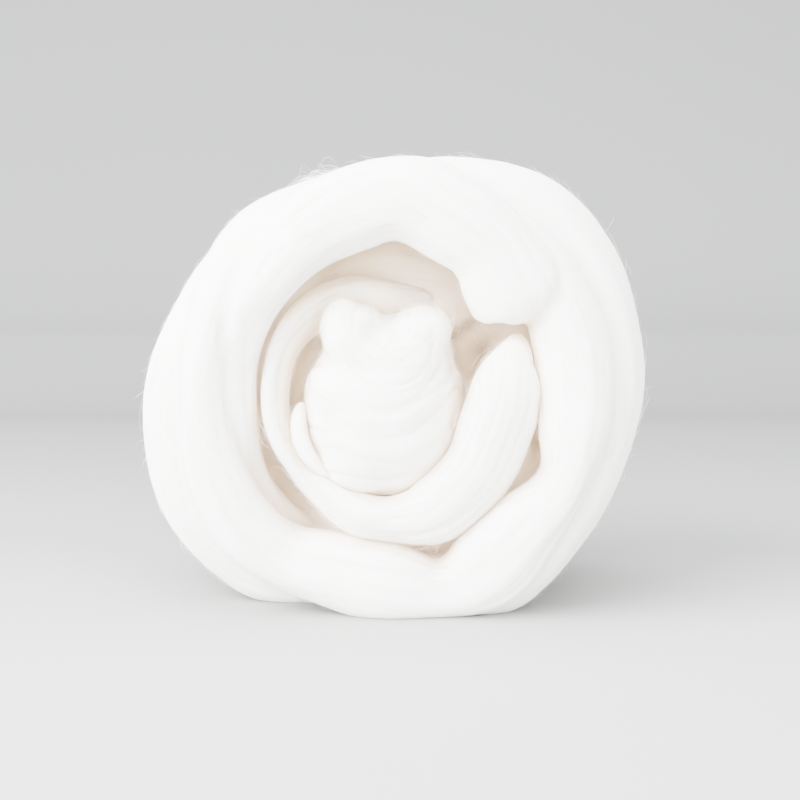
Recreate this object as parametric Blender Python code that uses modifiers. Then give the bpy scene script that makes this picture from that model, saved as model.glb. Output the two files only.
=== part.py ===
"""Wool roving wound into a soft ball, lying on its side with a wound end to the front.

The roving is one strand of combed wool, 24 to 30 mm thick. Its inner end is folded
into a small pillow, the next turn wraps that as a crescent, the front turn lies over
both like a rim, and the rest is wound from the front to the back around them.
The strand is one continuous body, so the ball is one solid: every turn is a thick loft
through a short table of its sections, and a remesh fuses the turns where they press
together. The ball is flat underneath, where it lies on the surface.

Frame: metres, +Z up, the wound end faces -Y, +X is to the right of someone who looks
at it, and the origin is in the middle of the base, on the surface it lies on.
Tables are in millimetres and degrees.
"""
import math
from collections import namedtuple

import bmesh
import bpy
import numpy as np

MM = 0.001

# Driving dimensions, in millimetres.
AXIS_HEIGHT = 68.0          # the winding's axis above the surface
STRAND_DEPTH = 14.5         # half the strand's thickness along Y in the outer coil
COIL_PITCH = 22.0           # from one turn of the coil to the next
COIL_TURNS = 2.1            # turns that the coil takes towards the back
COIL_ACROSS = 12.0          # half the coil's width across the turn
COIL_SWELL = 1.1            # how far that width swells and narrows
COIL_SWELL_RATE = 1.7       # swells in a turn
COIL_WANDER = 3.5           # how far the coil strays from its even pitch
COIL_WANDER_RATE = 0.71     # wanders in a turn
COIL_ROW_ANGLE = 18.0       # degrees from one of the coil's sections to the next
BACK_SHRINK = 0.055         # how much the coil has drawn in one pitch behind the middle
BACK_TURNS = 2.4            # turns of the spiral that domes over the back
BACK_Y = 39.2               # the middle of the strand where the spiral is furthest back
SPIRAL_END_RADIUS = 6.0     # where the spiral ends, from the axis
SPIRAL_END_TUCK = 9.0       # how far its end is tucked in
SPIRAL_TUCK_SHARE = 0.12    # share of the spiral that this takes
SECTION_SIDES = 20          # sides of a loft
BULK_SEGMENTS = 32          # around a filled form
FULLNESS = 0.88             # power that rounds a section: 1 is an ellipse, 0 a box
STEP = 4.0                  # between the sections of a loft
VOXEL = 2.0                 # size of the remesh that fuses the turns
SOFTENING = 5               # rounds of smoothing that soften the creases
KEEP = 0.165                # share of the remesh's faces that is kept
CUTTER_WIDTH = 400.0        # the cutter under the surface, which makes the flat spot
CUTTER_HEIGHT = 60.0

WOOL_COLOUR = (0.93, 0.90, 0.85, 1.0)
WOOL_ROUGHNESS = 0.95

# One section of a turn: its clock angle seen from the front (0 is +X, 90 is up), the
# distance from the turn's centre, its place along Y, half its width across the turn,
# half its thickness, and its lean, which brings the outer edge forward.
Section = namedtuple("Section", "angle radius y across thick lean")

# The outside of the ball, as distances from the winding's axis by clock angle. It is
# wider than tall, slumps to the lower left and is flattened by its own weight.
Reach = namedtuple("Reach", "angle distance")
OUTLINE = (
    Reach(0, 78.6), Reach(20, 80.4), Reach(38, 82.0), Reach(52, 81.2), Reach(66, 76.4),
    Reach(82, 70.6), Reach(100, 68.2), Reach(122, 67.9), Reach(145, 71.0),
    Reach(163, 73.0), Reach(174, 76.4), Reach(190, 79.8), Reach(208, 83.4),
    Reach(224, 85.2), Reach(242, 79.0), Reach(256, 72.6), Reach(270, 70.2),
    Reach(285, 72.4), Reach(300, 79.0), Reach(314, 77.4), Reach(332, 75.4),
    Reach(346, 77.2),
)

# Where the outer coil lies along Y in its first turn. After that it goes back evenly.
Place = namedtuple("Place", "angle y")
COIL_FRONT = (
    Place(-75, -33.0), Place(-35, -29.0), Place(0, -23.0), Place(90, -17.0),
    Place(180, -20.0),
)

# The front rim's upper turn, from its free end (a lobe at the upper right) over the
# top and down inside the left of the rim, where the next turn covers it.
UPPER_RIM = (
    Section(26, 42.8, -37, 13.0, 11.0, 0),
    Section(31, 43.8, -38, 13.3, 12.5, 0),
    Section(38, 45.8, -39, 13.9, 13.5, 0),
    Section(47, 48.8, -39, 15.0, 14.0, 0),
    Section(56, 52.4, -39, 13.8, 14.0, 0),
    Section(70, 54.5, -39, 14.6, 14.0, 0),
    Section(80, 57.0, -38, 14.5, 14.0, 0),
    Section(90, 57.5, -38, 13.0, 14.0, 0),
    Section(101, 55.9, -38, 13.5, 14.0, 0),
    Section(112, 54.6, -38, 13.0, 14.0, 0),
    Section(124, 52.6, -39, 11.0, 13.5, 0),
    Section(137, 50.8, -39, 9.6, 12.5, 5),
    Section(152, 50.4, -38, 9.4, 11.0, 10),
    Section(168, 50.0, -36, 9.2, 10.0, 18),
    Section(188, 50.0, -34, 9.2, 9.5, 22),
    Section(208, 52.3, -29, 8.3, 9.0, 15),
    Section(228, 54.4, -24, 7.8, 9.0, 0),
    Section(248, 55.4, -18, 6.0, 7.0, 0),
)

# The rim's second turn: it comes from behind at the top, is the front of the ball at
# the left, along the bottom and up the right, and slips under the lobe again.
LOWER_RIM = (
    Section(50, 57.0, -10, 8.0, 10.0, 0),
    Section(88, 57.4, -14, 11.0, 13.0, 0),
    Section(105, 57.6, -20, 10.9, 13.5, 0),
    Section(118, 58.8, -24, 11.2, 13.5, 0),
    Section(131, 60.6, -28, 11.3, 13.5, 0),
    Section(144, 59.9, -31, 10.6, 13.5, 0),
    Section(165, 57.5, -36, 8.8, 13.5, 0),
    Section(186, 57.3, -37, 9.0, 13.5, 0),
    Section(206, 59.0, -37, 10.6, 13.5, 0),
    Section(222, 61.4, -36, 11.9, 13.5, 0),
    Section(238, 60.6, -34, 11.2, 13.5, 0),
    Section(252, 57.2, -36, 12.6, 13.5, 0),
    Section(268, 57.2, -38, 13.4, 14.0, 0),
    Section(285, 62.0, -36, 9.8, 14.0, 0),
    Section(301, 60.2, -39, 14.8, 14.0, 0),
    Section(314, 57.4, -40, 13.2, 13.5, 0),
    Section(333, 58.0, -40, 8.8, 13.5, 0),
    Section(350, 55.4, -40, 12.2, 13.5, 0),
    Section(364, 55.0, -38, 13.2, 13.5, 0),
    Section(380, 56.0, -36, 12.6, 13.5, 0),
    Section(396, 57.0, -34, 11.4, 13.5, 0),
    Section(415, 57.5, -31, 10.3, 13.0, 0),
    Section(440, 58.0, -26, 9.0, 12.0, 0),
)

# The second turn in, from its end under the lobe down the right side, where it is
# broad, along the bottom and up the left, where it leans back as a wall, and then
# behind the folded end along the top of the hollow.
CRESCENT = (
    Section(24, 42.6, -33, 3.6, 6.5, 0),
    Section(19, 40.3, -36, 5.2, 8.5, 0),
    Section(15, 38.3, -38, 7.4, 9.5, 0),
    Section(9.5, 35.9, -40, 9.8, 10.2, 0),
    Section(3, 34.6, -41.5, 11.2, 10.5, 0),
    Section(-6, 33.6, -42, 11.8, 10.5, 0),
    Section(-20, 32.6, -42, 12.0, 10.5, 0),
    Section(-38, 34.0, -42, 11.6, 10.5, 0),
    Section(-55, 35.4, -42, 11.4, 10.5, 0),
    Section(-72, 37.6, -42, 10.8, 10.5, 0),
    Section(-90, 38.4, -41, 7.8, 10.0, 5),
    Section(-107, 38.0, -41, 7.4, 10.0, 10),
    Section(-122, 36.8, -40, 5.8, 7.5, 25),
    Section(-138, 36.2, -38, 5.2, 4.6, 46),
    Section(-160, 36.0, -36, 6.6, 3.8, 60),
    Section(-185, 35.4, -34, 7.8, 3.8, 62),
    Section(-212, 34.8, -31, 8.4, 5.0, 54),
    Section(-240, 30.5, -24, 8.5, 7.5, 30),
    Section(-270, 25.5, -17, 8.0, 8.0, 10),
    Section(-300, 26.5, -12, 7.5, 8.0, 0),
    Section(-330, 31.0, -7, 6.0, 7.0, 0),
)

# The turn behind the gap around the crescent, which closes it 15 to 35 mm down.
GAP_FLOOR = (
    Section(122, 41.0, -12, 8.0, 9.0, 0),
    Section(138, 42.0, -20, 9.0, 10.0, 0),
    Section(156, 43.5, -22, 10.0, 11.0, 0),
    Section(178, 44.5, -21, 11.0, 12.0, 0),
    Section(196, 45.5, -12, 12.0, 12.0, 0),
    Section(215, 46.0, -5, 12.0, 12.0, 0),
    Section(240, 46.5, -6, 12.0, 12.0, 0),
    Section(262, 46.5, -20, 12.0, 13.0, 0),
    Section(286, 47.0, -17, 12.0, 13.0, 0),
    Section(310, 46.5, -22, 12.0, 13.0, 0),
    Section(334, 46.0, -18, 12.0, 13.0, 0),
    Section(368, 43.0, -12, 11.0, 12.0, 0),
    Section(396, 41.0, -2, 9.0, 10.0, 0),
)

# The turn that backs the hollow, high up inside the ball.
HOLLOW_BACK = (
    Section(-10, 40.0, 0, 8.0, 9.0, 0),
    Section(30, 41.0, -1, 10.0, 11.0, 0),
    Section(70, 40.5, -5, 11.0, 12.0, 0),
    Section(110, 40.5, -7, 11.0, 12.0, 0),
    Section(150, 41.0, -8, 10.0, 11.0, 0),
    Section(190, 40.0, -5, 8.0, 9.0, 0),
)

# A thin fold of the strand along the pillow's lower left.
SIDE_FOLD = (
    Section(188, 27.0, -32, 2.4, 5.0, 0),
    Section(199, 29.6, -36, 3.0, 6.0, 0),
    Section(211, 31.4, -38, 3.3, 6.5, 0),
    Section(224, 31.8, -38, 3.0, 6.5, 0),
    Section(240, 31.4, -37, 2.6, 6.0, 0),
)

# The folded inner end: the top fold hangs like a swag around the dimple in its top.
DIMPLE_X = -1.5
DIMPLE_HEIGHT = 87.6
TOP_FOLD = (
    Section(156, 11.8, -31, 8.4, 8.5, 0),
    Section(171, 12.4, -36, 8.8, 10.0, 0),
    Section(190, 12.4, -39, 8.6, 10.5, 0),
    Section(218, 11.0, -39, 8.6, 10.5, 0),
    Section(265, 9.0, -40, 9.0, 10.5, 0),
    Section(312, 10.4, -39, 8.8, 10.5, 0),
    Section(338, 12.2, -37, 8.0, 9.6, 0),
    Section(356, 12.0, -34, 7.6, 8.8, 0),
    Section(372, 11.4, -31, 6.8, 8.0, 0),
)

# Filled forms inside the winding: the folded end's pillow, with its top, side, foot and
# the two lobes beside the dimple, and the turns deep in the ball that nothing shows of.
# Centre and half sizes along X, Y and Z.
Bulk = namedtuple("Bulk", "x y height half_x half_y half_z")
PILLOW = Bulk(-2.2, -28.5, 61.4, 25.2, 25.0, 27.2)
PILLOW_TOP = Bulk(2.0, -28.5, 77.0, 18.0, 22.0, 14.4)
PILLOW_SIDE = Bulk(-13.4, -29.5, 67.5, 13.6, 21.5, 12.6)
PILLOW_FOOT = Bulk(-8.8, -28.5, 51.0, 15.6, 22.5, 17.0)
LEFT_LOBE = Bulk(-11.6, -35.0, 87.4, 10.0, 12.5, 8.4)
RIGHT_LOBE = Bulk(9.6, -34.0, 86.8, 9.8, 12.5, 8.0)
FOLDED_BULKS = (PILLOW, PILLOW_TOP, PILLOW_SIDE, PILLOW_FOOT, LEFT_LOBE, RIGHT_LOBE)
HIDDEN_TURNS = Bulk(0.0, 12.0, 68.0, 56.0, 36.0, 54.0)


def smooth_rows(rows, centre_x, centre_height):
    """Reads rows off a smooth curve through a table's rows, one to each step."""
    table = np.array(rows, dtype=float)
    turn = np.radians(table[:, 0])
    middle = np.column_stack((
        centre_x + table[:, 1] * np.cos(turn),
        table[:, 2],
        centre_height + table[:, 1] * np.sin(turn),
    ))
    spans = np.linalg.norm(np.diff(middle, axis=0), axis=1)
    along = np.concatenate(([0.0], np.cumsum(spans)))
    slopes = np.gradient(table, along, axis=0)
    count = max(8, int(along[-1] / STEP))
    eased = (1.0 - np.cos(np.linspace(0.0, math.pi, count))) / 2.0
    places = along[-1] * eased
    row = np.clip(np.searchsorted(along, places, side="right") - 1, 0, len(spans) - 1)
    span = spans[row][:, None]
    part = (places - along[row])[:, None] / span
    rising = part * part * (3.0 - 2.0 * part)
    leaving = part * (1.0 - part) ** 2 * span
    arriving = -part * part * (1.0 - part) * span
    smooth = (table[row] * (1.0 - rising) + table[row + 1] * rising
              + slopes[row] * leaving + slopes[row + 1] * arriving)
    return smooth, places


def section_frames(smooth, centre_x, centre_height):
    """Gives each section's middle, its direction across the turn and its thickness."""
    turn = np.radians(smooth[:, 0])
    lean = np.radians(smooth[:, 5])
    outward = np.column_stack((np.cos(turn), np.zeros(len(turn)), np.sin(turn)))
    middle = outward * smooth[:, 1:2]
    middle[:, 0] += centre_x
    middle[:, 1] = smooth[:, 2]
    middle[:, 2] += centre_height
    ahead = np.gradient(middle, axis=0)
    ahead /= np.linalg.norm(ahead, axis=1)[:, None]
    across = outward * np.cos(lean)[:, None]
    across[:, 1] -= np.sin(lean)
    across -= ahead * np.sum(across * ahead, axis=1)[:, None]
    across /= np.linalg.norm(across, axis=1)[:, None]
    return middle, across, np.cross(ahead, across)


def full(share):
    """Pushes a share of a section's half size outward, which makes it fuller."""
    return math.copysign(abs(share) ** FULLNESS, share)


def add_turn(shape, rows, centre_x=0.0, centre_height=AXIS_HEIGHT):
    """Adds one closed loft to the shape: a grid wrapped around the turn's sections."""
    smooth, places = smooth_rows(rows, centre_x, centre_height)
    middle, across, thick = section_frames(smooth, centre_x, centre_height)
    end_length = smooth[:, 4].mean()
    from_end = np.minimum(places, places[-1] - places) / end_length
    closing = np.sqrt(1.0 - (1.0 - np.clip(from_end, 0.0, 1.0)) ** 2)
    count = len(places)
    grid = bmesh.ops.create_grid(
        shape, x_segments=count - 1, y_segments=SECTION_SIDES, size=0.5)
    for vert in grid["verts"]:
        row = round((vert.co.x + 0.5) * (count - 1))
        side = 2.0 * math.pi * (vert.co.y + 0.5)
        wide = full(math.cos(side)) * smooth[row, 3] * closing[row]
        deep = full(math.sin(side)) * smooth[row, 4] * closing[row]
        vert.co = (middle[row] + across[row] * wide + thick[row] * deep) * MM
    bmesh.ops.remove_doubles(shape, verts=grid["verts"], dist=0.01 * MM)


def add_bulk(shape, bulk):
    """Adds a filled form, as a fuller sphere stretched to its half sizes."""
    ball = bmesh.ops.create_uvsphere(
        shape, u_segments=BULK_SEGMENTS, v_segments=BULK_SEGMENTS // 2, radius=1.0)
    for vert in ball["verts"]:
        vert.co.x = (bulk.x + full(vert.co.x) * bulk.half_x) * MM
        vert.co.y = (bulk.y + full(vert.co.y) * bulk.half_y) * MM
        vert.co.z = (bulk.height + full(vert.co.z) * bulk.half_z) * MM


def outline_at(angle):
    """Gives the outside's distance from the axis at a clock angle, in millimetres."""
    return float(np.interp(
        angle % 360.0,
        [reach.angle for reach in OUTLINE] + [360.0],
        [reach.distance for reach in OUTLINE] + [OUTLINE[0].distance]))


def coil_rows():
    """Works out the outer coil, from behind the rim to the domed spiral at the back."""
    rows = []
    angle = float(COIL_FRONT[0].angle)
    first_turn_end = COIL_FRONT[-1].angle
    coil_end = first_turn_end + 360.0 * COIL_TURNS
    while angle <= coil_end:
        turns_back = max(0.0, (angle - first_turn_end) / 360.0)
        y = np.interp(
            angle,
            [place.angle for place in COIL_FRONT],
            [place.y for place in COIL_FRONT])
        y += COIL_PITCH * turns_back
        wander = math.sin(math.radians(angle * COIL_WANDER_RATE))
        y += COIL_WANDER * min(1.0, turns_back) * wander
        shrink = 1.0 - BACK_SHRINK * max(0.0, y / COIL_PITCH) ** 2
        across = COIL_ACROSS + COIL_SWELL * math.sin(math.radians(angle * COIL_SWELL_RATE))
        radius = outline_at(angle) * shrink - across
        rows.append(Section(angle, radius, y, across, STRAND_DEPTH, 0.0))
        angle += COIL_ROW_ANGLE
    tail = rows[-1]
    steps = int(BACK_TURNS * 360.0 / COIL_ROW_ANGLE)
    for step in range(1, steps + 1):
        share = step / steps
        angle = tail.angle + COIL_ROW_ANGLE * step
        radius = tail.radius + (SPIRAL_END_RADIUS - tail.radius) * share
        tucked = max(0.0, 1.0 - (1.0 - share) / SPIRAL_TUCK_SHARE) ** 2
        y = tail.y + (BACK_Y - tail.y) * math.sin(share * math.pi / 2.0)
        y -= SPIRAL_END_TUCK * tucked
        across = COIL_ACROSS + COIL_SWELL * math.sin(math.radians(angle * COIL_SWELL_RATE))
        rows.append(Section(angle, radius, y, across, STRAND_DEPTH, 0.0))
    return rows


def wool_material():
    """Makes the wool's plain finish."""
    wool = bpy.data.materials.new("wool")
    wool.use_nodes = True
    shader = wool.node_tree.nodes["Principled BSDF"]
    shader.inputs["Base Color"].default_value = WOOL_COLOUR
    shader.inputs["Roughness"].default_value = WOOL_ROUGHNESS
    shader.inputs["Metallic"].default_value = 0.0
    return wool


def floor_cutter(collection):
    """Makes the block whose top is the surface, which cuts the flat spot."""
    shape = bmesh.new()
    bmesh.ops.create_cube(shape, size=1.0)
    for vert in shape.verts:
        vert.co.x *= CUTTER_WIDTH * MM
        vert.co.y *= CUTTER_WIDTH * MM
        vert.co.z = (vert.co.z - 0.5) * CUTTER_HEIGHT * MM
    mesh = bpy.data.meshes.new("surface_cutter")
    shape.to_mesh(mesh)
    shape.free()
    cutter = bpy.data.objects.new("surface_cutter", mesh)
    cutter.display_type = "WIRE"
    cutter.hide_render = True
    collection.objects.link(cutter)
    return cutter


def roving_ball(collection, cutter):
    """Makes the wound ball: the turns, fused, thinned out and cut flat below."""
    shape = bmesh.new()
    add_turn(shape, UPPER_RIM)
    add_turn(shape, LOWER_RIM)
    add_turn(shape, coil_rows())
    add_turn(shape, CRESCENT)
    add_turn(shape, GAP_FLOOR)
    add_turn(shape, HOLLOW_BACK)
    add_turn(shape, SIDE_FOLD)
    add_turn(shape, TOP_FOLD, DIMPLE_X, DIMPLE_HEIGHT)
    for bulk in (*FOLDED_BULKS, HIDDEN_TURNS):
        add_bulk(shape, bulk)
    bmesh.ops.recalc_face_normals(shape, faces=shape.faces)
    mesh = bpy.data.meshes.new("roving_ball")
    shape.to_mesh(mesh)
    shape.free()
    mesh.materials.append(wool_material())
    ball = bpy.data.objects.new("roving_ball", mesh)
    collection.objects.link(ball)

    fuse = ball.modifiers.new("fuse_turns", "REMESH")
    fuse.mode = "VOXEL"
    fuse.voxel_size = VOXEL * MM
    fuse.use_smooth_shade = True
    soften = ball.modifiers.new("soften", "SMOOTH")
    soften.factor = 0.5
    soften.iterations = SOFTENING
    thin_out = ball.modifiers.new("thin_out", "DECIMATE")
    thin_out.ratio = KEEP
    flat_spot = ball.modifiers.new("flat_spot", "BOOLEAN")
    flat_spot.operation = "DIFFERENCE"
    flat_spot.object = cutter
    return ball


def main():
    for old in list(bpy.data.objects):
        bpy.data.objects.remove(old, do_unlink=True)
    parts = bpy.data.collections.new("wool_roving")
    cutters = bpy.data.collections.new("cutters")
    for collection in (parts, cutters):
        bpy.context.scene.collection.children.link(collection)
    cutter = floor_cutter(cutters)
    roving_ball(parts, cutter)


main()
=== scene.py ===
"""Looks for a ball of wool roving: the wound strand with its combed fibres.

The ball is one strand of combed wool. Its wound form is made again from the solid's own
tables of sections, finer, as four pieces: the outer winding, the crescent turn inside
its rim, the folded inner end and the thin fold beside it. Each is a set of lofted turns,
fused by a fine remesh, with relief that runs along the strand. Thousands of thin fibres
lie along the turns and stand off them as fuzz and a halo.

Tables and named lengths are in millimetres and degrees, as in the solid, unless they
say otherwise. Settings and meshes are in metres, in the frame of the solid: +Z up, the
wound end faces -Y.
"""
import math
from collections import namedtuple

import bmesh
import bpy
import numpy as np
from bpy.props import FloatProperty, FloatVectorProperty, IntProperty, PointerProperty
from bpy.types import Operator, Panel, PropertyGroup
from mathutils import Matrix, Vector, kdtree, noise
from mathutils.bvhtree import BVHTree


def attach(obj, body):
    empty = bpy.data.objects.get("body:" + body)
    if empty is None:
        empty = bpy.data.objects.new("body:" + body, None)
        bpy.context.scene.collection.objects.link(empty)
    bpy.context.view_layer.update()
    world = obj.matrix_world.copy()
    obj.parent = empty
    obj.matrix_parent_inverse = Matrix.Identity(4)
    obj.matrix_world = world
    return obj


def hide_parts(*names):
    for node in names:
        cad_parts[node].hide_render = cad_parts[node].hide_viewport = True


bl_info = {
    "name": "Wool Roving Ball",
    "version": (1, 0, 0),
    "blender": (4, 5, 0),
    "location": "3D View > Sidebar > Wool Roving",
    "description": "Makes a wound ball of combed wool roving with its fibres",
    "category": "Add Mesh",
}

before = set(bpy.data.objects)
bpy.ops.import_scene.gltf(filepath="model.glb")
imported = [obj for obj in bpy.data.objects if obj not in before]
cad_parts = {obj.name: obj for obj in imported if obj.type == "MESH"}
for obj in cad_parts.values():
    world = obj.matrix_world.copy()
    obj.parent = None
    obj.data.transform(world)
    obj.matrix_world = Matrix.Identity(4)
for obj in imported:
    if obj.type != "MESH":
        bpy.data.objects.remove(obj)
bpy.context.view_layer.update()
SOLID = "roving_ball"
BODY = "root"
PIECES = ("outer_winding", "crescent_turn", "folded_end", "side_fold")

MM = 0.001


def table_of(kind, *rows):
    """Names the numbers in a table's rows."""
    return tuple(kind(*row) for row in rows)


# The winding, in millimetres, as in the solid.
AXIS_HEIGHT = 68.0
STRAND_DEPTH = 14.5
COIL_PITCH = 22.0
COIL_TURNS = 2.1
COIL_ACROSS = 12.0
COIL_SWELL = 1.1
COIL_SWELL_RATE = 1.7
COIL_WANDER = 3.5
COIL_WANDER_RATE = 0.71
COIL_ROW_ANGLE = 18.0
BACK_SHRINK = 0.055
BACK_TURNS = 2.4
BACK_Y = 39.2
SPIRAL_END_RADIUS = 6.0
SPIRAL_END_TUCK = 9.0
SPIRAL_TUCK_SHARE = 0.12
FULLNESS = 0.88
LOFT_SIDES = 44
LOFT_STEP = 2.5
BULK_SEGMENTS = 48
LEAST_ROWS = 12  # the fewest rows of a loft
WELD = 0.01  # how near a loft's points are joined
SOFTENING = 6  # rounds of smoothing that soften the creases
FOLD_SOFTENING = 30  # the same for the folded end, whose folds lie flat

# One section of a turn: its clock angle seen from the front (0 is +X, 90 is up), the
# distance from the turn's centre, its place along Y, half its width across the turn,
# half its thickness, and its lean, which brings the outer edge forward.
Section = namedtuple("Section", "angle radius y across thick lean", defaults=(0,))

# The outside of the ball, as distances from the winding's axis by clock angle.
Reach = namedtuple("Reach", "angle distance")
OUTLINE = table_of(
    Reach,
    (0, 78.6), (20, 80.4), (38, 82.0), (52, 81.2), (66, 76.4), (82, 70.6), (100, 68.2),
    (122, 67.9), (145, 71.0), (163, 73.0), (174, 76.4), (190, 79.8), (208, 83.4),
    (224, 85.2), (242, 79.0), (256, 72.6), (270, 70.2), (285, 72.4), (300, 79.0),
    (314, 77.4), (332, 75.4), (346, 77.2), (360, 78.6),
)

# Where the outer coil lies along Y in its first turn.
Place = namedtuple("Place", "angle y")
COIL_FRONT = table_of(Place, (-75, -33), (-35, -29), (0, -23), (90, -17), (180, -20))

# The front rim's upper turn, from its free lobe at the upper right over the top and
# down inside the left of the rim.
UPPER_RIM = table_of(
    Section,
    (26, 46, -37, 14.2, 11),
    (31, 47.4, -38, 15.2, 12.5),
    (38, 48.4, -39, 16.2, 13.5),
    (47, 49.6, -39, 15.6, 14),
    (56, 52.4, -39, 13.8, 14),
    (70, 54.5, -39, 14.6, 14),
    (80, 57, -38, 14.5, 14),
    (90, 57.5, -38, 13, 14),
    (101, 55.9, -38, 13.5, 14),
    (112, 54.6, -38, 13, 14),
    (124, 52.6, -39, 11, 13.5),
    (137, 50.8, -39, 9.6, 12.5, 5),
    (152, 50.4, -38, 9.4, 11, 10),
    (168, 50, -36, 9.2, 10, 18),
    (188, 50, -34, 9.2, 9.5, 22),
    (208, 52.3, -29, 8.3, 9, 15),
    (228, 54.4, -24, 7.8, 9),
    (248, 55.4, -18, 6, 7),
)

# The rim's second turn: from behind at the top, forward at the left, along the bottom,
# up the right and under the lobe again.
LOWER_RIM = table_of(
    Section,
    (50, 57, -10, 8, 10),
    (88, 57.4, -14, 11, 13),
    (105, 57.6, -20, 10.9, 13.5),
    (118, 58.8, -24, 11.2, 13.5),
    (131, 60.6, -28, 11.3, 13.5),
    (144, 59.9, -31, 10.6, 13.5),
    (165, 57.5, -36, 8.8, 13.5),
    (186, 57.3, -37, 9, 13.5),
    (206, 59, -37, 10.6, 13.5),
    (222, 61.4, -36, 11.9, 13.5),
    (238, 60.6, -34, 11.2, 13.5),
    (252, 57.2, -36, 12.6, 13.5),
    (268, 57.2, -38, 13.4, 14),
    (285, 62, -36, 9.8, 14),
    (301, 60.2, -39, 14.8, 14),
    (314, 57.4, -40, 13.2, 13.5),
    (333, 58, -40, 8.8, 13.5),
    (350, 55.4, -40, 12.2, 13.5),
    (364, 55, -38, 13.2, 13.5),
    (380, 56, -36, 12.6, 13.5),
    (396, 57, -34, 11.4, 13.5),
    (415, 57.5, -31, 10.3, 13),
    (440, 58, -26, 9, 12),
)

# The second turn in, from under the lobe down the right, along the bottom, up the left
# as a wall, and behind the folded end along the top of the hollow.
CRESCENT = table_of(
    Section,
    (24, 42.6, -33, 3.6, 6.5),
    (19, 40.3, -36, 5.2, 8.5),
    (15, 38.3, -38, 7.4, 9.5),
    (9.5, 35.9, -40, 9.8, 10.2),
    (3, 34.6, -41.5, 11.2, 10.5),
    (-6, 33.6, -42, 11.8, 10.5),
    (-20, 32.6, -42, 12, 10.5),
    (-38, 34, -42, 11.6, 10.5),
    (-55, 35.4, -42, 11.4, 10.5),
    (-72, 37.6, -42, 10.8, 10.5),
    (-90, 38.4, -41, 7.8, 10, 5),
    (-107, 38, -41, 7.4, 10, 10),
    (-122, 36.8, -40, 5.8, 7.5, 25),
    (-138, 36.2, -38, 5.2, 4.6, 46),
    (-160, 36, -36, 6.6, 3.8, 60),
    (-185, 35.4, -34, 7.8, 3.8, 62),
    (-212, 34.8, -31, 8.4, 5, 54),
    (-240, 30.5, -24, 8.5, 7.5, 30),
    (-270, 25.5, -17, 8, 8, 10),
    (-300, 26.5, -12, 7.5, 8),
    (-330, 31, -7, 6, 7),
)

# The turns behind the gap around the crescent and behind the hollow.
GAP_FLOOR = table_of(
    Section,
    (122, 41, -12, 8, 9),
    (138, 42, -20, 9, 10),
    (156, 43.5, -22, 10, 11),
    (178, 44.5, -21, 11, 12),
    (196, 45.5, -12, 12, 12),
    (215, 46, -5, 12, 12),
    (240, 46.5, -6, 12, 12),
    (262, 46.5, -20, 12, 13),
    (286, 47, -17, 12, 13),
    (310, 46.5, -22, 12, 13),
    (334, 46, -18, 12, 13),
    (368, 43, -12, 11, 12),
    (396, 41, -2, 9, 10),
)
HOLLOW_BACK = table_of(
    Section,
    (-10, 40, 0, 8, 9),
    (30, 41, -1, 10, 11),
    (70, 40.5, -5, 11, 12),
    (110, 40.5, -7, 11, 12),
    (150, 41, -8, 10, 11),
    (190, 40, -5, 8, 9),
)

# A thin fold of the strand along the pillow's lower left.
SIDE_FOLD = table_of(
    Section,
    (188, 27, -32, 2.4, 5),
    (199, 29.6, -36, 3, 6),
    (211, 31.4, -38, 3.3, 6.5),
    (224, 31.8, -38, 3, 6.5),
    (240, 31.4, -37, 2.6, 6),
)

# The folded inner end: folds that hang like a swag around the dimple in its top.
DIMPLE_X = -1.5
DIMPLE_HEIGHT = 87.6
TOP_FOLD = table_of(
    Section,
    (156, 11.8, -31, 8.4, 8.5),
    (171, 12.4, -36, 8.8, 10),
    (190, 12.4, -39, 8.6, 10.5),
    (218, 11, -39, 8.6, 10.5),
    (265, 9, -40, 9, 10.5),
    (312, 10.4, -39, 8.8, 10.5),
    (338, 12.2, -37, 8, 9.6),
    (356, 12, -34, 7.6, 8.8),
    (372, 11.4, -31, 6.8, 8),
)

# Filled forms inside the winding: the middle, and half the sizes along X, Y and Z. The
# folded end's are a pillow, its top, side and foot, and the lobes at its left and right.
Bulk = namedtuple("Bulk", "x y height half_x half_y half_z")
FOLDED_BULKS = table_of(
    Bulk,
    (-2.2, -28.5, 61.4, 25.2, 25, 27.2),
    (2, -28.5, 77, 18, 22, 14.4),
    (-13.4, -29.5, 67.5, 13.6, 21.5, 12.6),
    (-8.8, -28.5, 51, 15.6, 22.5, 17),
    (-11.6, -35, 87.4, 10, 12.5, 8.4),
    (9.6, -34, 86.8, 9.8, 12.5, 8),
)
HIDDEN_TURNS = Bulk(0, 12, 68, 56, 36, 54)

# A lofted turn: for each of its rows the middle, the directions across, through and
# along it, the length so far, and the half sizes. All in metres.
Turn = namedtuple("Turn", "middle across thick ahead along half_across half_thick")

# One layer of relief on the strand: its wavelengths along and across the strand, and
# its height, in millimetres.
Relief = namedtuple("Relief", "along across height")
STRAND_RELIEF = table_of(Relief, (130, 9, 0.75), (60, 3.6, 0.34), (28, 1.8, 0.13))
PUFF = Relief(26.0, 26.0, 0.5)
FOLD_LINES = Relief(70.0, 6.5, 0.45)
SWAG_LINES = Relief(55.0, 7.5, 0.6)
LINE_SHARE = 0.16  # share of the noise's range that a line takes up
LINE_EDGE = 1.5  # how sharply a line's sides fall
LINE_SHIFT = 0.1  # metres that part the lines' noise from the relief's
SWAG_RADIUS = 17.0  # how far from the dimple the swags' lengths are true
SWAG_DEPTH = 0.4  # how fast the swags change from front to back
SETTLE = 0.9  # how far the fused turns settle under their own weight
FLAT_BELOW = 6.0  # height under which the relief dies away to the flat spot
CREASE_DEPTH = 0.7  # how far the skin dips where two turns meet
CREASE_SHELTER = 0.14  # what such a dip adds to the shelter, and so to the painted crease shade
SEAM_GAP = 25.0  # jump along a turn by which its windings are told apart
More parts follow.
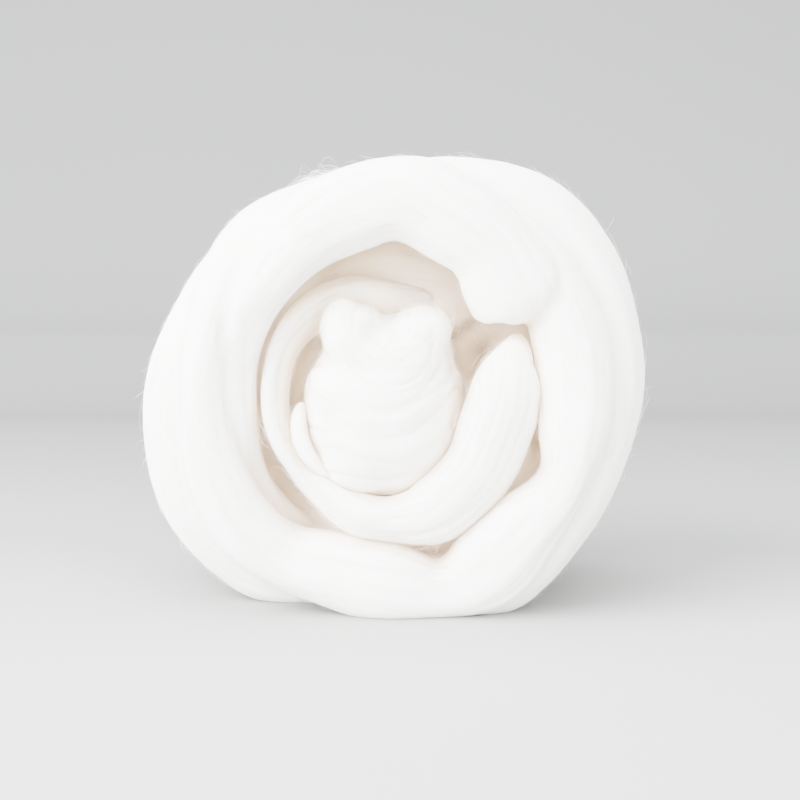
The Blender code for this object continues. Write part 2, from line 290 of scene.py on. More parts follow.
BORDER_ROUNDS = 10  # rounds of averaging that even out the turns' borders
FLOW_ROUNDS = 8  # the same for the fibres' direction
CREASE_ROUNDS = 4  # the same for the creases' sides
CREASE_GAIN = 2.2  # what brings a crease's middle back to 1 after those
# The shelter, how closed in each point is, sets the painted shade and painted glow of the
# wool.
SHELTER_STEP = 10  # every how many points the shelter is worked out
SHELTER_WAYS = 24  # directions looked in from each of those
SHELTER_LIFT = 2.5  # how far off the surface the look starts
SHELTER_REACH = 40.0  # how far the look reaches
SHELTER_ROUNDS = 10  # rounds of averaging that even out the shelter
TINY = 1e-9

# The fibres. A range of lengths or radii says which share of its setting a fibre gets.
SHOWN_WITHIN = 2.6  # depth in the solid past which a point is buried
SHOWN_ABOVE = 1.5  # height under which a point touches the floor
FRONT_ENDS = -18.0  # the place along Y that parts the rim from the coil
FLOOR_CLEARANCE = 0.15  # least height of a fibre's middle
FIBRE_SIDES = 3
FIBRE_WELD = 0.0005  # how near the points of a fibre's tip are joined
ROUTE_STEPS = 10  # steps in which a lying lock follows the flow
ROUTE_LEAST = 5  # the fewest points of a lock that is kept
ROUTE_STRAY = 1.2  # how far from the skin a lock may step
ROUTE_MEMORY = 0.5  # share of its last direction that a lock holds on to
SPARE_STARTS = 3  # starts tried for each lock that is asked for
LOCK_SWING = 0.07  # radians by which locks turn off the flow
LOCK_LENGTHS = (0.5, 1.6)
LOCK_RADII = (0.5, 1.5)
LOCK_LIFTS = (-0.9, 0.1)  # how far a lock's middle lies over the skin, by its radius
HALO_SEED = 21
HALO_CORNERS = 8  # points along a fibre of the halo
FUZZ_CORNERS = 5  # points along a fibre of the fuzz
HALO_SHARE = 118000.0  # points of the pieces' meshes that share the halo's fibres
HALO_SWING = 0.5  # radians by which fine fibres turn off the flow
HALO_LENGTHS = (0.5, 1.7)
HALO_RADII = (0.6, 1.5)
HALO_HEIGHT = (1.6, 0.6)  # shape and scale of the spread of the fibres' heights
LOOP_SHARE = 0.5  # share of the fine fibres that lie down again as loops
END_RISE = 1.6  # how late a free end rises
CURL_TURNS = (0.6, 1.8)  # half turns of a fine fibre's curl
CURL_WIDTH = 0.22  # how wide it curls, by its length
HALO_SINK = 0.1  # depth in the wool at which a fine fibre starts
HALO_BEFORE = 0.2  # share of a fine fibre that lies before its point
TUFT_SPREAD = 6.0  # degrees and millimetres a tuft's fibres spread over
TUFT_DEPTH = 6.0  # how far inside the outline a tuft may start

# A place where the fibres stand off the ball as a tuft: its clock angle, its place along
# Y, how far its fibres stand off and how many they are.
Tuft = namedtuple("Tuft", "angle y stand fibres")
TUFTS = table_of(Tuft, (107, -14, 1.7, 240), (-9, -12, 1.5, 150))

# A place deep in the ball whose wool is painted darker, a painted shade where it gets less
# light than the look around it tells: its middle, the radius around it, and the share by
# which its wool counts as deeper.
Shade = namedtuple("Shade", "x y height radius more")
PAINTED_SHADES = table_of(Shade, (26, -22, 80.5, 15.5, 1.5), (17, -26, 98, 20, 0.35))
MOST_SHELTER = 0.8  # the most that the look around a point gives
FULL_PAINTED_GLOW = 0.95  # shelter at which the painted glow is at its strongest

# How dense the wool's streaks are along, across and through the strand, to the metre.
Streaks = namedtuple("Streaks", "fine wide")
COMBED_STREAKS = Streaks((30.0, 900.0, 900.0), (8.0, 220.0, 220.0))
LOOSE_STREAKS = Streaks((600.0, 600.0, 600.0), (60.0, 60.0, 60.0))

# The stage's tone by distance behind the ball, in metres: a pale floor, the darker line
# where it ends, and the backdrop. The tones are partly painted shade: the floor darkens away
# from the ball, and the flat sheet past the floor's end is darker than where it rises, to
# even out how the light falls there.
StageTone = namedtuple("StageTone", "y tone")
STAGE_TONES_AND_SHADE = table_of(
    StageTone,
    (-0.10, 0.360), (-0.03, 0.325), (0.06, 0.275), (0.16, 0.255), (0.27, 0.222),
    (0.37, 0.203), (0.44, 0.175), (0.50, 0.196), (0.80, 0.248), (1.00, 0.277),
    (1.25, 0.280), (2.00, 0.267),
)
STAGE_SIZE = 3.0  # half the sheet's width, in metres
STAGE_GRID = 60
FLOOR_END = 1.2  # how far back the sheet starts to rise, in metres

# A soft square light that faces the ball: its place and size in metres, and its power.
Lamp = namedtuple("Lamp", "name place size power")
LAMPS = table_of(
    Lamp,
    ("key", (-1.0, -0.7, 0.75), 1.3, 112.0),
    ("top", (0.0, 0.0, 1.3), 1.2, 30.0),
    ("fill", (0.1, -1.3, 0.45), 1.2, 31.0),
)
LAMP_COLOUR = (0.99, 1.0, 1.03)
SKY_COLOUR = (0.97, 0.985, 1.0, 1.0)
SKY_POWER = 2.5

# The camera: its lens and sensor, its place in metres, and how far it looks down.
LENS = 75.0
SENSOR = 36.0
CAMERA_PLACE = (0.0024, -0.538, 0.1240)
CAMERA_TILT = 6.68


class WoolRovingSettings(PropertyGroup):
    """Sizes and colours of the roving ball and its stage."""

    outer_voxel: FloatProperty(
        name="Outer Grain", description="Mesh size of the outer winding",
        default=1.13 * MM, unit="LENGTH")
    inner_voxel: FloatProperty(
        name="Inner Grain", description="Mesh size of the crescent and folded end",
        default=0.75 * MM, unit="LENGTH")
    fibre_radius: FloatProperty(
        name="Fibre Radius", description="Half the thickness of a lying lock of fibres",
        default=0.08 * MM, unit="LENGTH")
    fibre_length: FloatProperty(
        name="Fibre Length", description="Mean length of a lying lock of fibres",
        default=26.0 * MM, unit="LENGTH")
    fibres_per_piece: IntProperty(
        name="Fibres in a Piece", description="How many locks of fibres a piece has",
        default=2300)
    halo_fibres: IntProperty(
        name="Halo Fibres", description="How many fine fibres stand off the ball",
        default=3200)
    fuzz_fibres: IntProperty(
        name="Fuzz Fibres", description="How many short fibres make the ball's fuzz",
        default=8000)
    fuzz_stand: FloatProperty(
        name="Fuzz Stand", description="How far the fuzz stands off",
        default=0.42 * MM, unit="LENGTH")
    fuzz_length: FloatProperty(
        name="Fuzz Length", description="Mean length of a fibre of the fuzz",
        default=4.0 * MM, unit="LENGTH")
    halo_radius: FloatProperty(
        name="Halo Fibre Radius", description="Half the thickness of a halo fibre",
        default=0.022 * MM, unit="LENGTH")
    halo_stand: FloatProperty(
        name="Halo Stand", description="How far the halo's fibres stand off",
        default=0.7 * MM, unit="LENGTH")
    halo_length: FloatProperty(
        name="Halo Fibre Length", description="Mean length of a halo fibre",
        default=7.0 * MM, unit="LENGTH")
    wool_light: FloatVectorProperty(
        name="Light Wool", description="Colour of the wool's lighter fibres",
        default=(0.965, 0.935, 0.885), subtype="COLOR", size=3)
    wool_warm: FloatVectorProperty(
        name="Warm Wool", description="Colour of the wool's creamier fibres",
        default=(0.955, 0.915, 0.85), subtype="COLOR", size=3)
    # Painted shade: the warmer, darker colour that the wool is given in its creases stands
    # in for the shade that falls there.
    painted_crease_shade: FloatVectorProperty(
        name="Deep Wool", description="Colour of the wool deep in the creases",
        default=(0.80, 0.66, 0.54), subtype="COLOR", size=3)
    # Painted shade: the colour given to the wool where least light comes in, standing in for
    # the shade there.
    painted_darkest_shade: FloatVectorProperty(
        name="Dark Wool", description="Colour of the wool where least light comes in",
        default=(0.50, 0.37, 0.28), subtype="COLOR", size=3)
    # Where the painted crease shade starts, where it is full, and where the painted darkest
    # shade is full.
    open_shelter: FloatProperty(
        name="Open Shelter", description="Shelter at which the wool starts to deepen",
        default=0.25)
    deep_shelter: FloatProperty(
        name="Deep Shelter", description="Shelter at which the wool has its deep colour",
        default=0.62)
    dark_shelter: FloatProperty(
        name="Dark Shelter", description="Shelter at which the wool is at its darkest",
        default=1.15)
    # Painted glow: light emitted by the wool in its deepest creases, standing in for light
    # that bounces about and passes through the fibres.
    painted_glow: FloatProperty(
        name="Glow", description="Light that comes through in the deepest creases",
        default=0.25)
    painted_glow_colour: FloatVectorProperty(
        name="Glow Colour", description="Colour of the painted glow in the creases",
        default=(0.85, 0.63, 0.48), subtype="COLOR", size=3)
    stage_tint: FloatVectorProperty(
        name="Stage Tint", description="Tint of the floor and the backdrop",
        default=(1.0, 0.995, 0.98), subtype="COLOR", size=3)


# ---- the wound strand

def smooth_rows(rows, centre_x, centre_height):
    """Reads rows off a smooth curve through a table's rows, one to each step."""
    table = np.array(rows, dtype=float)
    turn = np.radians(table[:, 0])
    middle = np.column_stack((
        centre_x + table[:, 1] * np.cos(turn),
        table[:, 2],
        centre_height + table[:, 1] * np.sin(turn),
    ))
    spans = np.linalg.norm(np.diff(middle, axis=0), axis=1)
    along = np.concatenate(([0.0], np.cumsum(spans)))
    slopes = np.gradient(table, along, axis=0)
    count = max(LEAST_ROWS, int(along[-1] / LOFT_STEP))
    eased = (1.0 - np.cos(np.linspace(0.0, math.pi, count))) / 2.0
    places = along[-1] * eased
    row = np.clip(np.searchsorted(along, places, side="right") - 1, 0, len(spans) - 1)
    span = spans[row][:, None]
    part = (places - along[row])[:, None] / span
    rising = part * part * (3.0 - 2.0 * part)
    leaving = part * (1.0 - part) ** 2 * span
    arriving = -part * part * (1.0 - part) * span
    smooth = (table[row] * (1.0 - rising) + table[row + 1] * rising
              + slopes[row] * leaving + slopes[row + 1] * arriving)
    return smooth, places


def lofted_turn(rows, centre_x=0.0, centre_height=AXIS_HEIGHT):
    """Works out one turn of the strand from its table."""
    smooth, places = smooth_rows(rows, centre_x, centre_height)
    turn = np.radians(smooth[:, 0])
    lean = np.radians(smooth[:, 5])
    outward = np.column_stack((np.cos(turn), np.zeros(len(turn)), np.sin(turn)))
    middle = outward * smooth[:, 1:2]
    middle[:, 0] += centre_x
    middle[:, 1] = smooth[:, 2]
    middle[:, 2] += centre_height
    ahead = np.gradient(middle, axis=0)
    ahead /= np.linalg.norm(ahead, axis=1)[:, None]
    across = outward * np.cos(lean)[:, None]
    across[:, 1] -= np.sin(lean)
    across -= ahead * np.sum(across * ahead, axis=1)[:, None]
    across /= np.linalg.norm(across, axis=1)[:, None]
    end_length = smooth[:, 4].mean()
    from_end = np.minimum(places, places[-1] - places) / end_length
    closing = np.sqrt(1.0 - (1.0 - np.clip(from_end, 0.0, 1.0)) ** 2)
    return Turn(
        middle * MM, across, np.cross(ahead, across), ahead, places * MM,
        smooth[:, 3] * closing * MM, smooth[:, 4] * closing * MM)


def full(share):
    """Pushes shares of a section's half size outward, which makes it fuller."""
    return np.sign(share) * np.abs(share) ** FULLNESS


def skin_of(turn, sides):
    """Gives the points of a turn's surface, for each row at each angle round its section."""
    wide = full(np.cos(sides))[None, :, None] * turn.half_across[:, None, None]
    deep = full(np.sin(sides))[None, :, None] * turn.half_thick[:, None, None]
    return (turn.middle[:, None, :] + turn.across[:, None, :] * wide
            + turn.thick[:, None, :] * deep)


def read_at(angle, table):
    """Reads a table of angles and measures at an angle."""
    return float(np.interp(angle, *zip(*table)))


def outline_at(angle):
    """Gives the outside's distance from the axis at a clock angle, in millimetres."""
    return read_at(angle % 360.0, OUTLINE)


def coil_across(angle):
    """Gives half the outer coil's width at an angle, in millimetres."""
    return COIL_ACROSS + COIL_SWELL * math.sin(math.radians(angle * COIL_SWELL_RATE))


def coil_rows():
    """Works out the outer coil, from behind the rim to the domed spiral at the back."""
    rows = []
    angle = float(COIL_FRONT[0].angle)
    first_turn_end = COIL_FRONT[-1].angle
    coil_end = first_turn_end + 360.0 * COIL_TURNS
    while angle <= coil_end:
        turns_back = max(0.0, (angle - first_turn_end) / 360.0)
        y = read_at(angle, COIL_FRONT) + COIL_PITCH * turns_back
        wander = math.sin(math.radians(angle * COIL_WANDER_RATE))
        y += COIL_WANDER * min(1.0, turns_back) * wander
        shrink = 1.0 - BACK_SHRINK * max(0.0, y / COIL_PITCH) ** 2
        across = coil_across(angle)
        radius = outline_at(angle) * shrink - across
        rows.append(Section(angle, radius, y, across, STRAND_DEPTH))
        angle += COIL_ROW_ANGLE
    tail = rows[-1]
    steps = int(BACK_TURNS * 360.0 / COIL_ROW_ANGLE)
    for step in range(1, steps + 1):
        share = step / steps
        angle = tail.angle + COIL_ROW_ANGLE * step
        radius = tail.radius + (SPIRAL_END_RADIUS - tail.radius) * share
        tucked = max(0.0, 1.0 - (1.0 - share) / SPIRAL_TUCK_SHARE) ** 2
        y = tail.y + (BACK_Y - tail.y) * math.sin(share * math.pi / 2.0)
        y -= SPIRAL_END_TUCK * tucked
        rows.append(Section(angle, radius, y, coil_across(angle), STRAND_DEPTH))
    return rows


def outer_turns():
    """Gives the turns of the outer winding: both rims, the coil and those behind them."""
    tables = (UPPER_RIM, LOWER_RIM, coil_rows(), GAP_FLOOR, HOLLOW_BACK)
    return [lofted_turn(rows) for rows in tables]


def add_turn(shape, turn):
    """Adds one closed loft to the shape: a grid wrapped around the turn's sections."""
    last = len(turn.along) - 1
    skin = skin_of(turn, np.linspace(0.0, 2.0 * math.pi, LOFT_SIDES + 1))
    grid = bmesh.ops.create_grid(shape, x_segments=last, y_segments=LOFT_SIDES, size=0.5)
    for vert in grid["verts"]:
        row = round((vert.co.x + 0.5) * last)
        side = round((vert.co.y + 0.5) * LOFT_SIDES)
        vert.co = skin[row, side]
    bmesh.ops.remove_doubles(shape, verts=grid["verts"], dist=WELD * MM)


def add_bulk(shape, bulk):
    """Adds a filled form, as a fuller sphere stretched to its half sizes."""
    ball = bmesh.ops.create_uvsphere(
        shape, u_segments=BULK_SEGMENTS, v_segments=BULK_SEGMENTS // 2, radius=1.0)
    middle = np.array((bulk.x, bulk.y, bulk.height))
    halves = np.array((bulk.half_x, bulk.half_y, bulk.half_z))
    for vert in ball["verts"]:
        vert.co = (middle + full(np.array(vert.co)) * halves) * MM


def add_object(name, data):
    """Adds an object to the scene."""
    made = bpy.data.objects.new(name, data)
    bpy.context.scene.collection.objects.link(made)
    return made


def mesh_from(shape, name):
    """Turns a finished shape into a mesh, and frees the shape."""
    mesh = bpy.data.meshes.new(name)
    shape.to_mesh(mesh)
    shape.free()
    return mesh


def shown_mesh(maker):
    """Gives the mesh that an object shows with its modifiers or its thickness."""
    ready = maker.evaluated_get(bpy.context.evaluated_depsgraph_get())
    return bpy.data.meshes.new_from_object(ready)


def dress(mesh, material):
    """Gives a mesh its one material and smooth shading."""
    mesh.materials.clear()
    mesh.materials.append(material)
    mesh.polygons.foreach_set("use_smooth", [True] * len(mesh.polygons))


def fused_mesh(name, turns, bulks, voxel, softening=SOFTENING):
    """Fuses turns and filled forms where they press together, and returns the mesh."""
    shape = bmesh.new()
    for turn in turns:
        add_turn(shape, turn)
    for bulk in bulks:
        add_bulk(shape, bulk)
    bmesh.ops.recalc_face_normals(shape, faces=shape.faces)
    rough = mesh_from(shape, name + "_turns")
    maker = add_object(name + "_turns", rough)
    fuse = maker.modifiers.new("fuse_turns", "REMESH")
    fuse.mode = "VOXEL"
    fuse.voxel_size = voxel
    soften = maker.modifiers.new("soften", "SMOOTH")
    soften.factor = 0.5
    soften.iterations = softening
    mesh = shown_mesh(maker)
    mesh.name = name
    bpy.data.objects.remove(maker)
    bpy.data.meshes.remove(rough)
    return mesh


def rows_of(items, name, width=3, kind=float):
    """Reads one property of all of a mesh's items, as rows."""
    flat = np.empty(len(items) * width, dtype=kind)
    items.foreach_get(name, flat)
    return flat.reshape(-1, width)


def points_of(mesh):
    """Gives a mesh's vertex positions as rows of x, y and z."""
    return rows_of(mesh.vertices, "co")


def normals_of(mesh):
    """Gives a mesh's vertex normals as rows."""
    return rows_of(mesh.vertex_normals, "vector")


def flow_of(mesh):
    """Gives the direction of the fibres at each point of a combed mesh."""
    return rows_of(mesh.attributes["flow"].data, "vector")


def edges_of(mesh):
    """Gives a mesh's edges as pairs of vertex numbers."""
    return rows_of(mesh.edges, "vertices", 2, np.int64)


def spread(values, edges, rounds):
    """Averages the rows of values with their neighbours' along the mesh, in rounds."""
    ends = np.concatenate((edges[:, 0], edges[:, 1]))
    others = np.concatenate((edges[:, 1], edges[:, 0]))
    count = 1.0 + np.bincount(ends, minlength=len(values))
    for _ in range(rounds):
        gathered = [
            np.bincount(ends, weights=column[others], minlength=len(values))
            for column in values.T
        ]
        values = (values + np.column_stack(gathered)) / count[:, None]
    return values


def nearest_rows(points, turn):
    """Gives each point's distance from a turn's surface and the row that is nearest."""
    skin = skin_of(turn, np.linspace(0.0, 2.0 * math.pi, LOFT_SIDES, endpoint=False))
    tree = kd_tree(skin.reshape(-1, 3))
    numbers, distances = zip(*(tree.find(point)[1:] for point in points))
    return np.array(distances), np.array(numbers) // LOFT_SIDES


def noise_over(places, along, across):
    """Gives a smooth noise from -1 to 1 at each place, drawn out along the strand."""
    scale = np.array((1.0 / along, 1.0 / across, 1.0 / across)) / MM
    return np.array([noise.noise(Vector(place)) for place in places * scale])


def along_turns(mesh, turns):
    """Gives the places of a mesh's points in the straightened strand, and the flow.

    A place is along, across and through the strand. The flow is the fibres' direction.
    The third result is 1 where two turns or windings meet and 0 away from there.
    """
    points = points_of(mesh)
    edges = edges_of(mesh)
    near = [nearest_rows(points, turn) for turn in turns]
    distances = np.column_stack([distance for distance, _ in near])
    distances = spread(distances, edges, BORDER_ROUNDS)
    which = distances.argmin(axis=1)
    places = np.empty_like(points)
    flow = np.empty_like(points)
    for index, turn in enumerate(turns):
        mine = which == index
        row = near[index][1][mine]
        offset = points[mine] - turn.middle[row]
        flow[mine] = turn.ahead[row]
        for part, way in enumerate((turn.ahead, turn.across, turn.thick)):
            places[mine, part] = np.sum(offset * way[row], axis=1)
        places[mine, 0] += index + turn.along[row]
    apart = np.abs(np.diff(places[edges, 0], axis=1)[:, 0])
    meeting = (np.diff(which[edges], axis=1)[:, 0] != 0) | (apart > SEAM_GAP * MM)
    crease = np.zeros((len(points), 1))
    crease[edges[meeting].ravel()] = 1.0
    crease = np.minimum(1.0, CREASE_GAIN * spread(crease, edges, CREASE_ROUNDS)[:, 0])
    return places, spread(flow, edges, FLOW_ROUNDS), crease


def around_dimple(mesh):
    """Gives places and flow on the folded end, whose swags hang around its dimple."""
    points = points_of(mesh)
    offset = points - np.array((DIMPLE_X, 0.0, DIMPLE_HEIGHT)) * MM
    turn = np.arctan2(offset[:, 0], -offset[:, 2])
    reach = np.hypot(offset[:, 0], offset[:, 2])
    places = np.column_stack((turn * SWAG_RADIUS * MM, reach, points[:, 1] * SWAG_DEPTH))
    flow = np.column_stack((np.cos(turn), np.zeros(len(turn)), np.sin(turn)))
    return places, flow, np.zeros(len(points))


def keep_values(mesh, name, values):
    """Keeps a value or a vector for each point of a mesh under a name."""
    kind, part = ("FLOAT", "value") if values.ndim == 1 else ("FLOAT_VECTOR", "vector")
    layer = mesh.attributes.new(name, kind, "POINT")
    layer.data.foreach_set(part, values.astype(np.float32).ravel())


def values_of(mesh, name):
    """Gives the values kept on a mesh under a name."""
    return rows_of(mesh.attributes[name].data, "value", 1)[:, 0]


def comb_surface(mesh, places, flow, crease, lines):
    """Raises the combed relief on a fused mesh, and keeps its places and flow on it."""
    points = points_of(mesh)
    normals = normals_of(mesh)
    flow = flow - normals * np.sum(flow * normals, axis=1)[:, None]
    flow /= np.linalg.norm(flow, axis=1)[:, None] + TINY
    height = np.zeros(len(points))
    for layer in STRAND_RELIEF:
        height += noise_over(places, layer.along, layer.across) * layer.height
    from_line = np.abs(noise_over(places + LINE_SHIFT, lines.along, lines.across))
    near_line = np.maximum(0.0, 1.0 - from_line / LINE_SHARE)
    height -= lines.height * near_line ** LINE_EDGE
    height *= 1.0 - crease
    height += noise_over(points, PUFF.along, PUFF.across) * PUFF.height
    height -= SETTLE + CREASE_DEPTH * crease
    height *= np.clip(points[:, 2] / (FLAT_BELOW * MM), 0.0, 1.0)
    points += normals * (height * MM)[:, None]
    points[:, 2] = np.maximum(points[:, 2], 0.0)
    mesh.vertices.foreach_set("co", points.ravel())
    for name, values in (("combed", places), ("flow", flow), ("crease", crease)):
        keep_values(mesh, name, values)
    mesh.update()


def kd_tree(points):
    """Gives a search tree over points."""
    tree = kdtree.KDTree(len(points))
    for number, point in enumerate(points):
        tree.insert(point, number)
    tree.balance()
    return tree


def taken_from(known, values, points):
    """Gives each point the value of the nearest known point."""
    tree = kd_tree(known)
    return np.array([values[tree.find(point)[1]] for point in points])


def even_ways(count):
    """Gives directions spread evenly over a sphere."""
    number = np.arange(count) + 0.5
    height = 1.0 - 2.0 * number / count
    turn = number * math.pi * (3.0 - math.sqrt(5.0))
    flat = np.sqrt(1.0 - height ** 2)
    return [Vector(way) for way in zip(flat * np.cos(turn), flat * np.sin(turn), height)]


def keep_shelter(mesh, ball):
    """Keeps on a mesh how closed in each point is: 0 in the open, 1 deep in a crease. The
    wool reads it to paint shade and a glow into its creases.
    """
    points = points_of(mesh)
    normals = normals_of(mesh)
    sample = np.arange(0, len(points), SHELTER_STEP)
    ways = even_ways(SHELTER_WAYS)
    found = np.empty(len(sample))
    for index, number in enumerate(sample):
        normal = Vector(normals[number])
        start = Vector(points[number]) + normal * SHELTER_LIFT * MM
        total = 0.0
        closed = 0.0
        for way in ways:
            facing = way.dot(normal)
            aim = way if facing > 0.0 else -way
            distance = ball.ray_cast(start, aim, SHELTER_REACH * MM)[3]
            total += abs(facing)
            if distance is not None:
                closed += abs(facing) * (1.0 - distance / (SHELTER_REACH * MM))
        found[index] = closed / total
    values = taken_from(points[sample], found, points)
    values = spread(values[:, None], edges_of(mesh), SHELTER_ROUNDS)[:, 0]
    values += CREASE_SHELTER * values_of(mesh, "crease")
    values = np.minimum(values, MOST_SHELTER)
    # Painted shade: the listed places get a higher shelter, which paints their wool darker.
    for shade in PAINTED_SHADES:
        middle = np.array((shade.x, shade.y, shade.height))
        apart = np.linalg.norm(points / MM - middle, axis=1)
        values *= 1.0 + shade.more * np.clip(1.0 - apart / shade.radius, 0.0, 1.0)
    keep_values(mesh, "shelter", values)


def finish_piece(name, mesh, material):
    """Makes a smooth-shaded object of a finished mesh, riding with the ball."""
    dress(mesh, material)
    piece = add_object(name, mesh)
    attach(piece, BODY)
    return piece


def wound_piece(name, turns, bulks, voxel):
    """Makes one piece of the wound strand from its turns, its fibres lying along them."""
    mesh = fused_mesh(name, turns, bulks, voxel)
    comb_surface(mesh, *along_turns(mesh, turns), FOLD_LINES)
    return finish_piece(name, mesh, wool())


# ---- the fibres

def tree_of(*meshes):
    """Gives a search tree over the faces of meshes."""
    places = []
    faces = []
    for mesh in meshes:
        first = len(places)
        places.extend(vert.co for vert in mesh.vertices)
        faces.extend([first + number for number in face.vertices] for face in mesh.polygons)
    return BVHTree.FromPolygons(places, faces)


def shown_points(mesh, solid, dice, count):
    """Picks points of a mesh, evenly spread, that aren't buried in the ball."""
    order = dice.permutation(len(mesh.vertices))
    shown = []
    for number in order:
        place = mesh.vertices[number].co
        if place.z > SHOWN_ABOVE * MM and solid.find_nearest(place)[3] < SHOWN_WITHIN * MM:
            shown.append(number)
            if len(shown) == count:
                break
    return np.array(shown)


def fibre_route(start, way, length, corners, flow, skin, lift):
    """Follows the flow over the skin from a start, in even steps, and gives the route."""
    point = Vector(start)
    way = Vector(way)
    route = []
    for _ in range(ROUTE_STEPS + 1):
        hit, normal, face, distance = skin.find_nearest(point)
        if distance > ROUTE_STRAY * MM:
            break
        laid = hit + normal * lift
        laid.z = max(laid.z, FLOOR_CLEARANCE * MM)
        route.append(laid)
        ahead = Vector(flow[corners[face]])
        way = (way * ROUTE_MEMORY + ahead).normalized()
        point = hit + way * (length / ROUTE_STEPS)
    return route


def curve_object(name):
    """Adds an empty curve to the scene."""
    curve = bpy.data.curves.new(name, "CURVE")
    curve.dimensions = "3D"
    return add_object(name, curve)


def fibre_mesh(name, routes, radii):
    """Makes one mesh of many thin fibres: three-sided tubes that taper to points."""
    outline = curve_object(name + "_section")
    ring = outline.data.splines.new("POLY")
    ring.points.add(FIBRE_SIDES - 1)
    for index, point in enumerate(ring.points):
        angle = 2.0 * math.pi * index / FIBRE_SIDES
        point.co = (math.cos(angle) * MM, math.sin(angle) * MM, 0.0, 1.0)
    ring.use_cyclic_u = True
    maker = curve_object(name + "_routes")
    curve = maker.data
    curve.bevel_mode = "OBJECT"
    curve.bevel_object = outline
    curve.use_fill_caps = False
    for route, radius in zip(routes, radii):
        spline = curve.splines.new("POLY")
        spline.points.add(len(route) - 1)
        share = np.linspace(-1.0, 1.0, len(route))
        flat = np.ones((len(route), 4))
        flat[:, :3] = route
        spline.points.foreach_set("co", flat.ravel())
        spline.points.foreach_set("radius", radius / MM * np.sqrt(1.0 - share ** 2))
    tubes = shown_mesh(maker)
    shape = bmesh.new()
    shape.from_mesh(tubes)
    bmesh.ops.remove_doubles(shape, verts=shape.verts, dist=FIBRE_WELD * MM)
    bmesh.ops.recalc_face_normals(shape, faces=shape.faces)
    mesh = mesh_from(shape, name)
    bpy.data.meshes.remove(tubes)
    for made in (maker, outline):
        curve = made.data
        bpy.data.objects.remove(made)
        bpy.data.curves.remove(curve)
    return mesh


def lying_fibres(name, carrier, count, seed, side):
    """Makes the locks of fibres that lie along the strand on one piece.

    Side -1 keeps to the rim in front, 1 to the coil behind it, and 0 takes both.
    """
    settings = bpy.context.scene.wool_roving
    mesh = bpy.data.objects[carrier].data
    skin = tree_of(mesh)
    solid = tree_of(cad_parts[SOLID].data)
    flow = flow_of(mesh)
    corners = [face.vertices[0] for face in mesh.polygons]
    dice = np.random.RandomState(seed)
    routes = []
    radii = []
    for number in shown_points(mesh, solid, dice, count * SPARE_STARTS):
        start = mesh.vertices[number].co
        if side * (start.y - FRONT_ENDS * MM) < 0.0:
            continue
        swing = dice.normal(0.0, LOCK_SWING)
        normal = mesh.vertices[number].normal
        way = Vector(flow[number])
        way = way * math.cos(swing) + normal.cross(way) * math.sin(swing)
        length = settings.fibre_length * dice.uniform(*LOCK_LENGTHS)
        radius = settings.fibre_radius * dice.uniform(*LOCK_RADII)
        lift = radius * dice.uniform(*LOCK_LIFTS)
        route = fibre_route(start, way, length, corners, flow, skin, lift)
        if len(route) >= ROUTE_LEAST:
            routes.append(route)
            radii.append(radius)
        if len(routes) == count:
            break
    fibres = fibre_mesh(name, routes, radii)
    # The fibres take the shelter of the skin under them, so the painted crease shade and
    # glow fall on them too.
    shelter = taken_from(points_of(mesh), values_of(mesh, "shelter"), points_of(fibres))
    keep_values(fibres, "shelter", shelter)
    return fibres


def places_on(mesh, numbers):
    """Gives numbered points of a combed mesh, with their normals and the flow there."""
    return points_of(mesh)[numbers], normals_of(mesh)[numbers], flow_of(mesh)[numbers]


def tuft_points(mesh, tuft, dice):
    """Picks points of a mesh at a tuft's place on the outside of the ball."""
    points = points_of(mesh) / MM
    height = points[:, 2] - AXIS_HEIGHT
    turn = np.degrees(np.arctan2(height, points[:, 0]))
    apart = (turn - tuft.angle + 180.0) % 360.0 - 180.0
    outside = np.hypot(points[:, 0], height) > outline_at(tuft.angle) - TUFT_DEPTH
    near = (np.abs(apart) < TUFT_SPREAD) & (np.abs(points[:, 1] - tuft.y) < TUFT_SPREAD)
    return dice.choice(np.flatnonzero(near & outside), tuft.fibres)


def halo_routes(points, normals, along, stand, reach, corners, dice):
    """Works out one fine fibre for each point: a loop, or an end that stands free."""
    routes = []
    share = np.linspace(0.0, 1.0, corners)[:, None]
    for point, normal, ahead in zip(points, normals, along):
        sideways = np.cross(normal, ahead)
        swing = dice.normal(0.0, HALO_SWING)
        way = ahead * math.cos(swing) + sideways * math.sin(swing)
        length = reach * dice.uniform(*HALO_LENGTHS)
        height = stand * dice.gamma(*HALO_HEIGHT)
        if dice.uniform() < LOOP_SHARE:
            rise = 4.0 * share * (1.0 - share)
        else:
            rise = share ** END_RISE
        curl = np.sin(share * math.pi * dice.uniform(*CURL_TURNS))
        bend = sideways * dice.normal(0.0, CURL_WIDTH) * length
        route = (point - normal * HALO_SINK * MM + way * length * (share - HALO_BEFORE)
                 + normal * height * rise + bend * curl)
        route[:, 2] = np.maximum(route[:, 2], FLOOR_CLEARANCE * MM)
        routes.append(route)
    return routes


# ---- finishes

def set_inputs(node, **values):
    """Sets a node's named inputs."""
    for name, value in values.items():
        node.inputs[name.replace("_", " ")].default_value = value


def add_node(tree, kind, label, **values):
    """Adds a labelled node and sets the named inputs."""
    node = tree.nodes.new("ShaderNode" + kind)
    node.label = label
    set_inputs(node, **values)
    return node


def colour_mix(tree, label, **values):
    """Adds a labelled node that mixes two colours."""
    mix = add_node(tree, "Mix", label)
    mix.data_type = "RGBA"
    set_inputs(mix, **{name: (*colour, 1.0) for name, colour in values.items()})
    return mix


def kept_value(tree, name):
    """Adds a node that reads what is kept on the mesh under a name."""
    kept = add_node(tree, "Attribute", name)
    kept.attribute_name = name
    return kept


def join(tree, *links):
    """Links outputs to inputs: each link is a node, its output, a node and its input."""
    for giver, output, taker, entry in links:
        tree.links.new(giver.outputs[output], taker.inputs[entry])


